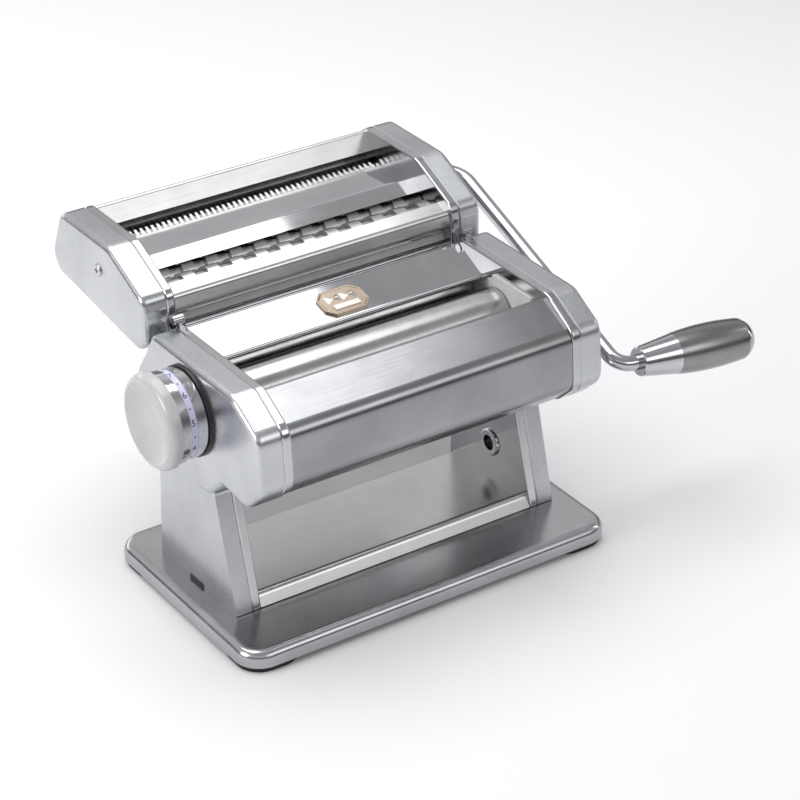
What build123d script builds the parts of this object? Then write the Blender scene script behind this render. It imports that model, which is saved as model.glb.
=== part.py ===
from build123d import *
import os
from math import atan2, cos, degrees, radians, sin

# Hand-cranked dough sheeter with a clip-on noodle cutter, in millimetres.
# +X runs along the rollers from the thickness dial to the crank, +Y to the back, +Z up.
# The origin is on the table, under the middle of the base plate.

# ---- driving sizes: frame ----
inner_half = 76.0        # middle of the machine to the inner face of a side plate
plate_wall = 1.2         # side plate sheet
rim_width = 4.5          # flanged rim of a side plate, seen from above
cover_depth = 12.5       # end cover, from the seam to its flat face
leg_depth = 8.8          # the same over the legs, where the cover is shallower
cover_wall = 1.0
seam_groove = 0.55       # bevel on both sides of the seam between a side plate and its cover
shell_wall = 1.0         # bent sheets between the side plates
side_gap = 0.5           # from a moving roller face to a guard

base_width = 204.0
base_depth = 123.0
base_corner = 13.0
base_wall = 1.2
foot_height = 3.0
base_height = 8.0        # pressed base, from its rim to its top
tray_height = 6.5        # raised tray between the legs
tray_front = -27.5
tray_back = 27.0

# ---- driving sizes: rollers and dial ----
roller_r = 12.5
roller_z = 107.0
front_roller_y = -2.3
widest_gap = 4.8
gap_travel = 4.2
journal_r = 5.0
running_fit = 0.05       # radial clearance of a shaft in its bush
slide_fit = 0.1          # flat clearance of a sliding block in its slot
guard_wall = 1.4
gear_width = 6.0
gear_start = 2.6         # from the seam of the covers to the near side of a gear
roller_teeth = 11
pinion_teeth = 8
long_tip_r = 16.8       # front roller gear, whose teeth reach across the widest gap
short_tip_r = 14.0      # rear roller gear
tip_clearance = 0.4
pinion_tip_r = 11.6
pinion_slack = 0.15
pinion_journal_r = 4.4

dial_y = -0.2
dial_r = 22.6            # widest part, at the cap
dial_root_r = 20.6       # at the end cover
dial_cap_depth = 6.4
dial_barrel_depth = 13.0
dial_seat_depth = 1.6
dial_seat_gap = 0.5
dial_settings = 10
dial_step = 36.0         # degrees between two settings
dial_shaft_side = 7.0
cam_r = 6.0
pin_r = 2.0

# ---- driving sizes: cutter attachment ----
cutter_z = 135.3
cutter_r = 8.5
cutter_pitch = 15.8      # between the two shafts of a pair
wide_pair_y = 59.7       # middle of the pair
narrow_pair_y = 98.0
groove_r = 6.9
wide_disc = 6.2
wide_step = 13.0
narrow_disc = 1.3
narrow_step = 3.0
cutter_shaft_r = 3.2
cutter_teeth = 11

# ---- driving sizes: crank ----
crank_r = 3.75
crank_corner = (inner_half + 39.5, narrow_pair_y - cutter_pitch / 2, cutter_z)
crank_elbow = (118.2, -40.5, 81.1)
grip_tip = (194.0, -47.4, 77.4)
crank_top_bend = 12.8
crank_low_bend = 9.0
socket_r = 4.1
socket_depth = 12.0
grip_neck_r = 7.2
grip_shoulder_r = 10.0
grip_belly_r = 11.3
grip_end_r = 9.6

# ---- places worked out from the sizes above ----
seam_x = inner_half + rim_width
face_x = seam_x + cover_depth
base_top = foot_height + base_height
tray_top = base_top + tray_height
rear_roller_y = front_roller_y + 2 * roller_r + widest_gap
roller_half = inner_half - guard_wall - side_gap
gear_x = seam_x + gear_start
closest_centres = 2 * roller_r + widest_gap - gap_travel
cutter_shafts = {
    "wide_front": wide_pair_y - cutter_pitch / 2,
    "wide_rear": wide_pair_y + cutter_pitch / 2,
    "narrow_front": narrow_pair_y - cutter_pitch / 2,
    "narrow_rear": narrow_pair_y + cutter_pitch / 2,
}

# Side view of the body, anticlockwise from its upper back corner: (y, z).
body_top = [(31.5, 131.0), (-38.0, 131.0), (-58.5, 119.4), (-61.0, 92.0), (-46.5, 78.5), (-27.0, 81.0)]
body_back = [(38.0, 79.0), (46.5, 88.0), (48.2, 97.0), (46.6, 107.0), (38.8, 118.5)]
body_radii = [5.0, 12.0, 9.0, 11.0, 9.0, 4.0]
back_radii = [6.0, 6.0, 8.0, 10.0, 12.0]
crease_z = 69.5
leg_front = [(-13.5, crease_z), (-30.0, base_top)]
leg_back = [(37.5, base_top), (35.0, crease_z)]

# Side view of the cutter attachment: (y, z).
cutter_outline = [
    (114.5, 158.3),
    (68.5, 158.3),
    (38.5, 144.5),
    (37.3, 138.0),
    (37.3, 122.5),
    (44.5, 116.2),
    (118.0, 125.4),
    (124.5, 134.0),
]
cutter_radii = [7.0, 14.0, 7.0, 5.0, 4.0, 6.0, 7.0, 9.0]

os.makedirs("parts", exist_ok=True)


def save(piece, name):
    export_step(piece, f"parts/{name}.step")


def outline_section(points, radii, grow=0.0):
    """A closed outline with rounded corners, grown or shrunk all round."""
    with BuildSketch() as section:
        with BuildLine():
            FilletPolyline(*points, radius=radii, close=True)
        make_face()
        if grow:
            offset(amount=grow, kind=Kind.ARC, mode=Mode.REPLACE)
    return section.sketch


def sheet_section(points, radii, thickness):
    """Bent sheet seen from its end: a rounded path with a constant thickness."""
    with BuildSketch() as section:
        with BuildLine():
            FilletPolyline(*points, radius=radii)
        trace(line_width=thickness)
    return section.sketch


def gear_section(teeth, root_r, tip_r, root_width, tip_width, turn):
    """Straight-flanked gear; turn is the angle of its first tooth."""
    with BuildSketch() as section:
        Circle(root_r)
        with BuildLine():
            Polyline(
                (root_r - 0.6, -root_width / 2),
                (tip_r, -tip_width / 2),
                (tip_r, tip_width / 2),
                (root_r - 0.6, root_width / 2),
                close=True,
            )
        tooth = make_face(mode=Mode.PRIVATE)
        with PolarLocations(0, teeth, start_angle=turn):
            add(tooth)
    return section.sketch


def side_plane(x, y=0.0, z=0.0):
    """A plane square to the rollers, with its own x along +Y and its y along +Z."""
    return Plane(origin=(x, y, z), x_dir=(0, 1, 0), z_dir=(1, 0, 0))


full_points = body_top + leg_front + leg_back + body_back
full_radii = body_radii + [3.0, 1.0, 1.0, 6.0] + back_radii
upper_points = body_top + [leg_front[0], leg_back[1]] + body_back
upper_radii = body_radii + [1.5, 1.5] + back_radii
tie_rods_yz = [(-47.0, 96.0), (-42.5, 114.0), (34.5, 86.0)]
tie_rod_r = 3.0
cutter_ties_yz = [(43.2, 122.8), (78.0, 143.4), (115.5, 131.0)]
cutter_tie_r = 2.0
bush_flange_r = 8.5
bush_r = 7.0
block_half = 7.0
slot_clear = 0.4
pitch_ratio = (pinion_teeth + roller_teeth) / roller_teeth
pinion_centres = closest_centres / 2 * pitch_ratio + pinion_slack
pinion_y = rear_roller_y - 3.0
pinion_z = roller_z - (pinion_centres**2 - (rear_roller_y - pinion_y) ** 2) ** 0.5
clamp_y = 3.5
clamp_z = 32.0
clamp_r = 5.0
clamp_collar_r = 7.0
cutter_bush_r = 5.0

# ---- base ----
with BuildPart() as base_plate:
    with BuildSketch(Plane.XY.offset(foot_height)):
        RectangleRounded(base_width, base_depth, base_corner)
    extrude(amount=base_height)
    fillet(base_plate.edges().group_by(Axis.Z)[-1], radius=4.5)
    offset(amount=-base_wall, openings=base_plate.faces().sort_by(Axis.Z)[0])
    with BuildSketch(Plane.XY.offset(foot_height)):
        with GridLocations(2 * (inner_half + 8.0), 30.0, 2, 2):
            Circle(2.1)
    extrude(amount=base_height, mode=Mode.SUBTRACT)
base_plate.part.label = "base_plate"
save(base_plate.part, "base_plate")

foot_size = 30.0
foot_inset = 1.4
with BuildPart() as rubber_feet:
    with BuildSketch():
        foot_span = foot_size + 2 * foot_inset
        with GridLocations(base_width - foot_span, base_depth - foot_span, 2, 2):
            RectangleRounded(foot_size, foot_size, base_corner - foot_inset)
    extrude(amount=foot_height)
rubber_feet.part.label = "rubber_feet"
save(rubber_feet.part, "rubber_feet")

with BuildPart() as cross_tray:
    with BuildSketch(side_plane(-inner_half)):
        add(sheet_section(
            [
                (tray_front - 1.4, base_top + shell_wall / 4),
                (tray_front + 2.0, tray_top - shell_wall / 2),
                (tray_back, tray_top - shell_wall / 2),
                (tray_back, base_top),
            ],
            [3.2, 1.2],
            shell_wall,
        ))
    extrude(amount=2 * inner_half)
cross_tray.part.label = "cross_tray"
save(cross_tray.part, "cross_tray")

# ---- side plates: pressed pans with a rim turned outwards, the legs in one piece with them ----
for side, sign in (("left", -1), ("right", 1)):
    with BuildPart() as side_plate:
        with BuildSketch(side_plane(sign * inner_half)):
            add(outline_section(full_points, full_radii))
        extrude(amount=sign * rim_width)
        with BuildSketch(side_plane(sign * (inner_half + plate_wall))):
            add(outline_section(full_points, full_radii, -plate_wall))
        extrude(amount=sign * rim_width, mode=Mode.SUBTRACT)
        fillet(side_plate.faces().filter_by(Axis.X).sort_by(Axis.X)[0 if sign > 0 else -1].outer_wire().edges(),
               radius=0.9)
        seam_face = side_plate.faces().filter_by(Axis.X).sort_by(Axis.X)[-1 if sign > 0 else 0]
        chamfer(seam_face.outer_wire().edges(), length=seam_groove)
        with BuildSketch(side_plane(sign * inner_half)):
            with Locations((rear_roller_y, roller_z)):
                Circle(bush_r)
            with Locations((front_roller_y + gap_travel / 2, roller_z)):
                Rectangle(2 * (block_half + slide_fit) + gap_travel, 2 * (block_half + slide_fit))
            with Locations(*tie_rods_yz):
                Circle(tie_rod_r)
            if sign > 0:
                with Locations((pinion_y, pinion_z)):
                    Circle(pinion_journal_r + running_fit)
                with Locations((clamp_y, clamp_z)):
                    Circle(clamp_r)
        extrude(amount=sign * plate_wall, mode=Mode.SUBTRACT)
    side_plate.part.label = f"{side}_side_plate"
    save(side_plate.part, side_plate.part.label)

# ---- end covers: drawn pans that close the gear spaces, bulged over the body, flatter over the legs ----
dial_hole_r = 5.6
drive_hole_r = 5.4
for side, sign in (("left", -1), ("right", 1)):
    with BuildPart() as end_cover:
        with BuildSketch(side_plane(sign * seam_x)):
            add(outline_section(full_points, full_radii))
        extrude(amount=sign * leg_depth)
        with BuildSketch(side_plane(sign * seam_x)):
            add(outline_section(upper_points, upper_radii))
        extrude(amount=sign * cover_depth)
        fillet(end_cover.faces().filter_by(Axis.X).sort_by(Axis.X)[-1 if sign > 0 else 0].edges(), radius=3.0)
        with BuildSketch(side_plane(sign * seam_x)):
            add(outline_section(full_points, full_radii, -cover_wall))
        extrude(amount=sign * (leg_depth - cover_wall), mode=Mode.SUBTRACT)
        with BuildSketch(side_plane(sign * seam_x)):
            add(outline_section(upper_points, upper_radii, -1.6))
        extrude(amount=sign * (cover_depth - cover_wall), mode=Mode.SUBTRACT)
        seam_face = end_cover.faces().filter_by(Axis.X).sort_by(Axis.X)[0 if sign > 0 else -1]
        chamfer(seam_face.outer_wire().edges(), length=seam_groove)
        with BuildSketch(side_plane(sign * face_x)):
            if sign < 0:
                with Locations((dial_y, roller_z)):
                    Circle(dial_hole_r)
            else:
                with Locations((pinion_y, pinion_z)):
                    Circle(drive_hole_r)
        extrude(amount=-sign * 2 * cover_wall, mode=Mode.SUBTRACT)
    end_cover.part.label = f"{side}_end_cover"
    save(end_cover.part, end_cover.part.label)

# ---- bent sheets between the side plates ----
front_path = [(-30.5, 119.5), (-36.0, 128.6), (-57.3, 117.6), (-59.4, 92.4), (-46.3, 79.9), (-33.0, 81.6)]
with BuildPart() as front_shell:
    with BuildSketch(side_plane(-inner_half)):
        add(sheet_section(front_path, [1.2, 8.0, 10.0, 8.0], shell_wall))
    extrude(amount=2 * inner_half)
front_shell.part.label = "front_shell"
save(front_shell.part, "front_shell")

plate_front = (4.6, 123.0)
plate_back = (31.0, 128.9)
with BuildPart() as hopper_plate:
    with BuildSketch(side_plane(-inner_half)):
        add(sheet_section([(7.4, 121.8), plate_front, plate_back, (32.4, 126.0)], [0.9, 1.0], shell_wall))
    extrude(amount=2 * inner_half)
hopper_plate.part.label = "hopper_plate"
save(hopper_plate.part, "hopper_plate")

rear_path = [(33.7, 127.4), (37.6, 118.2), (44.9, 106.8), (46.4, 97.0), (45.2, 88.6), (37.4, 80.4), (27.0, 80.4)]
with BuildPart() as rear_shell:
    with BuildSketch(side_plane(-inner_half)):
        add(sheet_section(rear_path, [10.0, 8.0, 6.0, 5.0, 4.0], shell_wall))
    extrude(amount=2 * inner_half)
rear_shell.part.label = "rear_shell"
save(rear_shell.part, "rear_shell")

# ---- six-sided badge on the hopper plate ----
badge_width = 24.0
badge_height = 17.0
badge_depth = 1.6
plate_slope = Vector(0, plate_back[0] - plate_front[0], plate_back[1] - plate_front[1]).normalized()
plate_up = Vector(0, -plate_slope.Z, plate_slope.Y)
badge_spot = Vector(0.0, (plate_front[0] + plate_back[0]) / 2 - 1.0, 0.0)
badge_rise = (badge_spot.Y - plate_front[0]) * plate_slope.Z / plate_slope.Y
badge_spot.Z = plate_front[1] + badge_rise + shell_wall / 2 / plate_slope.Y
with BuildPart() as hopper_badge:
    with BuildSketch(Plane(origin=badge_spot, x_dir=(1, 0, 0), z_dir=plate_up)):
        with BuildLine():
            Polyline(
                (-badge_width / 2, -badge_height / 4),
                (-badge_width / 3, -badge_height / 2),
                (badge_width / 3, -badge_height / 2),
                (badge_width / 2, -badge_height / 4),
                (badge_width / 2, badge_height / 4),
                (badge_width / 3, badge_height / 2),
                (-badge_width / 3, badge_height / 2),
                (-badge_width / 2, badge_height / 4),
                close=True,
            )
        make_face()
    extrude(amount=badge_depth, taper=12)
hopper_badge.part.label = "hopper_badge"
save(hopper_badge.part, "hopper_badge")

# ---- tie rods that hold the side plates apart, with their nuts ----
nut_across = 9.0
nut_height = 2.4
with BuildPart() as tie_rods:
    with BuildSketch(side_plane(-inner_half - plate_wall - nut_height)):
        with Locations(*tie_rods_yz):
            Circle(tie_rod_r)
    extrude(amount=2 * (inner_half + plate_wall + nut_height))
tie_rods.part.label = "tie_rods"
save(tie_rods.part, "tie_rods")

with BuildPart() as rod_nuts:
    for sign in (-1, 1):
        with BuildSketch(side_plane(sign * (inner_half + plate_wall))):
            with Locations(*tie_rods_yz):
                RegularPolygon(radius=nut_across / 2, side_count=6, major_radius=False)
                Circle(tie_rod_r, mode=Mode.SUBTRACT)
        extrude(amount=sign * nut_height)
rod_nuts.part.label = "rod_nuts"
save(rod_nuts.part, "rod_nuts")

# ---- inner guards that keep the dough off the roller ends ----
guard_points = [(-27.2, 124.5), (-29.0, 117.5), (-36.0, 108.0), (-36.0, 92.0), (41.0, 92.0), (41.0, 106.0), (31.0, 121.0),
                (4.0, 121.0), (2.4, 124.5)]
for side, sign in (("left", -1), ("right", 1)):
    with BuildPart() as guard:
        with BuildSketch(side_plane(sign * inner_half)):
            add(outline_section(guard_points, [1.5, 4.0, 6.0, 4.0, 4.0, 4.0, 3.0, 1.0, 0.6]))
            with Locations((rear_roller_y, roller_z)):
                Circle(bush_flange_r + slot_clear, mode=Mode.SUBTRACT)
            with Locations((front_roller_y + gap_travel / 2, roller_z)):
                SlotCenterToCenter(gap_travel, 2 * (journal_r + slot_clear), mode=Mode.SUBTRACT)
        extrude(amount=-sign * guard_wall)
    guard.part.label = f"{side}_roller_guard"
    save(guard.part, guard.part.label)

# ---- bushes of the fixed rear roller ----
with BuildPart() as roller_bushes:
    for sign in (-1, 1):
        with BuildSketch(side_plane(sign * (inner_half - guard_wall))):
            with Locations((rear_roller_y, roller_z)):
                Circle(bush_flange_r)
        extrude(amount=sign * guard_wall)
        with BuildSketch(side_plane(sign * inner_half)):
            with Locations((rear_roller_y, roller_z)):
                Circle(bush_r)
        extrude(amount=sign * (plate_wall + 2.0))
        with BuildSketch(side_plane(sign * (inner_half - guard_wall))):
            with Locations((rear_roller_y, roller_z)):
                Circle(journal_r + running_fit)
        extrude(amount=sign * (guard_wall + plate_wall + 2.0), mode=Mode.SUBTRACT)
roller_bushes.part.label = "roller_bushes"
save(roller_bushes.part, "roller_bushes")

# ---- scraper blades under the rollers ----
scraper_gap = 0.5
scraper_wall = 1.2
scraper_lean = 35.0      # degrees from straight down, towards the roller's outer side
for name, roller_y, sign, scraper_length in (
    ("front_scraper", front_roller_y, -1, 13.0),
    ("rear_scraper", rear_roller_y, 1, 7.0),
):
    reach = roller_r + scraper_gap
    tip = (roller_y + sign * reach * sin(radians(scraper_lean)), roller_z - reach * cos(radians(scraper_lean)))
    heel = (tip[0] + sign * scraper_length * 0.86, tip[1] - scraper_length * 0.42)
    with BuildPart() as scraper:
        with BuildSketch(side_plane(guard_wall - inner_half)):
            with BuildLine():
                Polyline(
                    tip,
                    heel,
                    (heel[0] - sign * 0.4, heel[1] - scraper_wall),
                    (tip[0], tip[1] - scraper_wall - 0.4),
                    close=True,
                )
            make_face()
        extrude(amount=2 * (inner_half - guard_wall))
    scraper.part.label = name
    save(scraper.part, name)

# ---- raised socket in the right leg for the table clamp's bar ----
with BuildPart() as clamp_socket:
    with BuildSketch(side_plane(inner_half)):
        with Locations((clamp_y, clamp_z)):
            Circle(clamp_collar_r)
    extrude(amount=-1.2)
    fillet(clamp_socket.edges().sort_by(Axis.X)[0], radius=0.9)
    with BuildSketch(side_plane(inner_half)):
        with Locations((clamp_y, clamp_z)):
            Circle(clamp_r)
    extrude(amount=plate_wall + 7.0)
    with BuildSketch(side_plane(inner_half - 2.0)):
        with Locations((clamp_y, clamp_z)):
            Circle(clamp_r - 1.0)
    extrude(amount=plate_wall + 8.0, mode=Mode.SUBTRACT)
clamp_socket.part.label = "clamp_socket"
save(clamp_socket.part, "clamp_socket")

# ---- rails on the back of the body that carry the cutter ----
rail_half_width = 4.0
rail_x = 68.0
rail_wall = 2.0
rail_y = 48.0
rail_low = 93.0
rail_high = 123.5
with BuildPart() as cutter_rails:
    with BuildSketch(Plane.XY.offset(rail_low)):
        for sign in (-1, 1):
            with Locations((sign * rail_x, rail_y + rail_wall / 2)):
                Rectangle(2 * rail_half_width, rail_wall)
    extrude(amount=rail_high - rail_low)
    with BuildSketch(Plane.XY.offset(94.0)):
        for sign in (-1, 1):
            with Locations((sign * rail_x, (46.9 + rail_y) / 2)):
                Rectangle(2 * rail_half_width - 2, rail_y - 46.9)
    extrude(amount=6.0)
cutter_rails.part.label = "cutter_rails"
save(cutter_rails.part, "cutter_rails")

# ---- small studs on the rim where the cutter comes to rest ----
stud_y = 32.6
with BuildPart() as hook_studs:
    for sign in (-1, 1):
        with BuildSketch(Plane(origin=(sign * (inner_half + 2.6), 29.4, 131.0), x_dir=(1, 0, 0), z_dir=(0, 0, 1))):
            Rectangle(3.0, 3.6)
        extrude(amount=3.0)
        with BuildSketch(side_plane(sign * (inner_half + 0.6))):
            with Locations((stud_y - 1.6, 134.6)):
                Circle(2.1)
        extrude(amount=sign * 5.4)
hook_studs.part.label = "hook_studs"
save(hook_studs.part, "hook_studs")

# ---- ring with the dial's ten resting places, on the left cover ----
seat_x = -face_x
with BuildPart() as dial_seat:
    with BuildSketch(side_plane(seat_x)):
        with Locations((dial_y, roller_z)):
            Circle(dial_root_r + 0.8)
            Circle(4.2, mode=Mode.SUBTRACT)
    extrude(amount=-dial_seat_depth)
    with BuildSketch(side_plane(seat_x - dial_seat_depth)):
        with Locations((dial_y, roller_z)):
            with PolarLocations(15.0, dial_settings):
                Circle(1.2)
    extrude(amount=1.0, mode=Mode.SUBTRACT)
dial_seat.part.label = "dial_seat"
save(dial_seat.part, "dial_seat")

# ---- sliding blocks that carry the front roller and set the gap ----
cam_x = -(seam_x + 0.5)          # near side of the snail cam
cam_width = 2.5
follower_y = dial_y + cam_r + 0.15 + pin_r
arm_width = 1.5
block_reach = plate_wall + 2.3
with BuildPart() as adjust_blocks:
    for sign in (-1, 1):
        with BuildSketch(side_plane(sign * (inner_half + slide_fit))):
            with Locations((front_roller_y, roller_z)):
                Rectangle(2 * block_half, 2 * block_half)
        extrude(amount=sign * block_reach)
    with BuildSketch(side_plane(-inner_half - slide_fit - block_reach)):
        with Locations((follower_y - 2.0, roller_z)):
            Rectangle(10.0, 9.0)
    extrude(amount=arm_width)
    with BuildSketch(side_plane(-inner_half - slide_fit - block_reach)):
        with Locations((follower_y, roller_z)):
            Circle(pin_r)
    extrude(amount=cam_x - cam_width + inner_half + slide_fit + block_reach - 0.5)
    with BuildSketch(side_plane(-inner_half - 20.0)):
        with Locations((front_roller_y, roller_z)):
            Circle(journal_r + running_fit)
    extrude(amount=2 * (inner_half + 20.0), mode=Mode.SUBTRACT)
adjust_blocks.part.label = "adjust_blocks"
save(adjust_blocks.part, "adjust_blocks")

# ---- smooth rollers: one solid each, with a journal at both ends and a flat for the gear ----
left_journal_end = -(inner_half + plate_wall + 2.8)
right_journal_end = gear_x + gear_width + 1.0
for name, roller_y in (("front_roller", front_roller_y), ("rear_roller", rear_roller_y)):
    with BuildPart() as roller:
        with BuildSketch(side_plane(-roller_half, roller_y, roller_z)):
            Circle(roller_r)
        extrude(amount=2 * roller_half)
        chamfer(roller.edges(), length=0.5)
        with BuildSketch(side_plane(left_journal_end, roller_y, roller_z)):
            Circle(journal_r)
        extrude(amount=right_journal_end - left_journal_end)
    roller.part.label = name
    save(roller.part, name)

# ---- roller gears: long teeth that stay in mesh over the whole gap travel ----
long_root_r = closest_centres - short_tip_r - tip_clearance
short_root_r = closest_centres - long_tip_r - tip_clearance
half_tooth = 180.0 / roller_teeth
rear_turn = 180.0 - half_tooth
for name, roller_y, root_r, tip_r, root_width, tip_width, turn in (
    ("front_roller_gear", front_roller_y, long_root_r, long_tip_r, 3.9, 1.6, 0.0),
    ("rear_roller_gear", rear_roller_y, short_root_r, short_tip_r, 3.0, 2.4, rear_turn),
):
    with BuildPart() as gear:
        with BuildSketch(side_plane(gear_x, roller_y, roller_z)):
            add(gear_section(roller_teeth, root_r, tip_r, root_width, tip_width, turn))
            Circle(journal_r, mode=Mode.SUBTRACT)
        extrude(amount=gear_width)
    gear.part.label = name
    save(gear.part, name)

# ---- drive pinion: its bore is the socket for the crank, open through the right cover ----
mesh_angle = degrees(atan2(pinion_z - roller_z, pinion_y - rear_roller_y))
tooth_offset = (mesh_angle - rear_turn + half_tooth) % (2 * half_tooth) - half_tooth
pinion_turn = mesh_angle + 180.0 + tooth_offset * roller_teeth / pinion_teeth + 180.0 / pinion_teeth
pinion_root_r = pinion_centres - short_tip_r - tip_clearance
collar_x = inner_half + plate_wall + nut_height + 0.3
with BuildPart() as drive_pinion:
    with BuildSketch(side_plane(gear_x, pinion_y, pinion_z)):
        add(gear_section(pinion_teeth, pinion_root_r, pinion_tip_r, 3.6, 1.8, pinion_turn))
    extrude(amount=gear_width)
    with BuildSketch(side_plane(inner_half + 0.1, pinion_y, pinion_z)):
        Circle(pinion_journal_r)
    extrude(amount=collar_x - inner_half)
    with BuildSketch(side_plane(collar_x, pinion_y, pinion_z)):
        Circle(socket_r + 2.4)
    extrude(amount=gear_x - collar_x)
    with BuildSketch(side_plane(gear_x, pinion_y, pinion_z)):
        Circle(drive_hole_r - running_fit)
    extrude(amount=face_x - gear_x)
    with BuildSketch(side_plane(face_x, pinion_y, pinion_z)):
        Circle(socket_r)
    extrude(amount=-socket_depth, mode=Mode.SUBTRACT)
drive_pinion.part.label = "drive_pinion"
save(drive_pinion.part, "drive_pinion")

# ---- dial shaft with the snail cam that pushes the front roller's block ----
cam_turn = (dial_settings - 1) * dial_step
cam_points = []
cam_steps = 36
for index in range(cam_steps + 1):
    angle = radians(-cam_turn * index / cam_steps)
    radius = cam_r + gap_travel * index / cam_steps
    cam_points.append((radius * cos(angle), radius * sin(angle)))
drop_angle = radians(dial_step * 0.6)
barrel_root_x = seat_x - dial_seat_depth - dial_seat_gap
barrel_end_x = barrel_root_x - dial_barrel_depth
shaft_end_x = barrel_end_x + 0.6
web_wall = 1.6
washer_wall = 1.2
with BuildPart() as dial_shaft:
    with BuildSketch(side_plane(cam_x, dial_y, roller_z)):
        with BuildLine():
            Spline(*cam_points)
            Line(cam_points[-1], (cam_r * cos(drop_angle), cam_r * sin(drop_angle)))
            ThreePointArc(
                (cam_r * cos(drop_angle), cam_r * sin(drop_angle)),
                (cam_r * cos(drop_angle / 2), cam_r * sin(drop_angle / 2)),
                cam_points[0],
            )
        make_face()
    extrude(amount=-cam_width)
    with BuildSketch(side_plane(cam_x - cam_width, dial_y, roller_z)):
        Circle(dial_hole_r - running_fit)
    extrude(amount=seat_x + cover_wall / 2 - cam_x + cam_width)
    with BuildSketch(side_plane(seat_x + cover_wall / 2, dial_y, roller_z)):
        Rectangle(dial_shaft_side * 0.78, dial_shaft_side * 0.78)
    extrude(amount=shaft_end_x - seat_x - cover_wall / 2)
    with BuildSketch(side_plane(shaft_end_x, dial_y, roller_z)):
        Circle(7.6)
    extrude(amount=washer_wall)
dial_shaft.part.label = "dial_shaft"
save(dial_shaft.part, "dial_shaft")

dial_middle_r = dial_root_r + (dial_r - dial_root_r) * 0.72
band_start = barrel_root_x - 5.2
band_width = 3.4
band_wall = 0.7
barrel_wall = 2.4
with BuildPart() as dial_barrel:
    with BuildSketch(Plane(origin=(0, dial_y, roller_z), x_dir=(1, 0, 0), z_dir=(0, -1, 0))):
        with BuildLine():
            Polyline(
                (barrel_root_x, 0),
                (barrel_root_x, dial_root_r),
                (barrel_end_x, dial_middle_r),
                (barrel_end_x, 0),
                close=True,
            )
        make_face()
    revolve(axis=Axis((0, dial_y, roller_z), (1, 0, 0)))
    with BuildSketch(side_plane(barrel_end_x, dial_y, roller_z)):
        Circle(dial_root_r - barrel_wall)
    extrude(amount=dial_barrel_depth - web_wall, mode=Mode.SUBTRACT)
    with BuildSketch(side_plane(barrel_end_x, dial_y, roller_z)):
        Rectangle(dial_shaft_side * 0.78 + 2 * slide_fit, dial_shaft_side * 0.78 + 2 * slide_fit)
    extrude(amount=dial_barrel_depth, mode=Mode.SUBTRACT)
    with BuildSketch(side_plane(band_start, dial_y, roller_z)):
        Circle(dial_r + 1.0)
        Circle(dial_root_r - band_wall, mode=Mode.SUBTRACT)
    extrude(amount=-band_width, mode=Mode.SUBTRACT)
    with BuildSketch(side_plane(barrel_root_x, dial_y, roller_z)):
        with PolarLocations(15.0, 2):
            Circle(0.9)
    extrude(amount=dial_seat_gap - 0.35)
dial_barrel.part.label = "dial_barrel"
save(dial_barrel.part, "dial_barrel")

with BuildPart() as number_band:
    with BuildSketch(side_plane(band_start, dial_y, roller_z)):
        Circle(dial_root_r + 0.15)
        Circle(dial_root_r - band_wall, mode=Mode.SUBTRACT)
    extrude(amount=-band_width)
number_band.part.label = "number_band"
save(number_band.part, "number_band")

dish_depth = 3.0
dish_flat_r = 5.0
cap_rim = 3.6
cap_face = barrel_end_x - dial_cap_depth
with BuildPart() as dial_cap:
    with BuildSketch(Plane(origin=(0, dial_y, roller_z), x_dir=(1, 0, 0), z_dir=(0, -1, 0))):
        with BuildLine():
            Polyline(
                (cap_face + dish_depth, dish_flat_r),
                (cap_face + dish_depth, 0),
                (barrel_end_x, 0),
                (barrel_end_x, dial_r - 0.6),
                (barrel_end_x - 0.6, dial_r),
                (cap_face + cap_rim, dial_r),
            )
            ThreePointArc(
                (cap_face + cap_rim, dial_r),
                (cap_face + cap_rim * 0.3, dial_r - cap_rim * 0.3),
                (cap_face, dial_r - cap_rim),
            )
            ThreePointArc(
                (cap_face, dial_r - cap_rim),
                (cap_face + dish_depth * 0.72, dial_r * 0.55),
                (cap_face + dish_depth, dish_flat_r),
            )
        make_face()
    revolve(axis=Axis((0, dial_y, roller_z), (1, 0, 0)))
dial_cap.part.label = "dial_cap"
save(dial_cap.part, "dial_cap")

# ---- return spring between the barrel's web and the washer on the shaft ----
spring_wire = 0.5
spring_r = 6.4
spring_turns = 5.0
spring_start = barrel_root_x - web_wall - spring_wire
spring_end = shaft_end_x + washer_wall + spring_wire
with BuildPart() as dial_spring:
    with BuildLine() as coil:
        Helix(
            pitch=(spring_start - spring_end) / spring_turns,
            height=spring_start - spring_end,
            radius=spring_r,
            center=(spring_start, dial_y, roller_z),
            direction=(-1, 0, 0),
        )
    with BuildSketch(Plane(origin=coil.line @ 0, z_dir=coil.line % 0)):
        Circle(spring_wire / 2)
    sweep()
dial_spring.part.label = "dial_spring"
save(dial_spring.part, "dial_spring")

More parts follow.
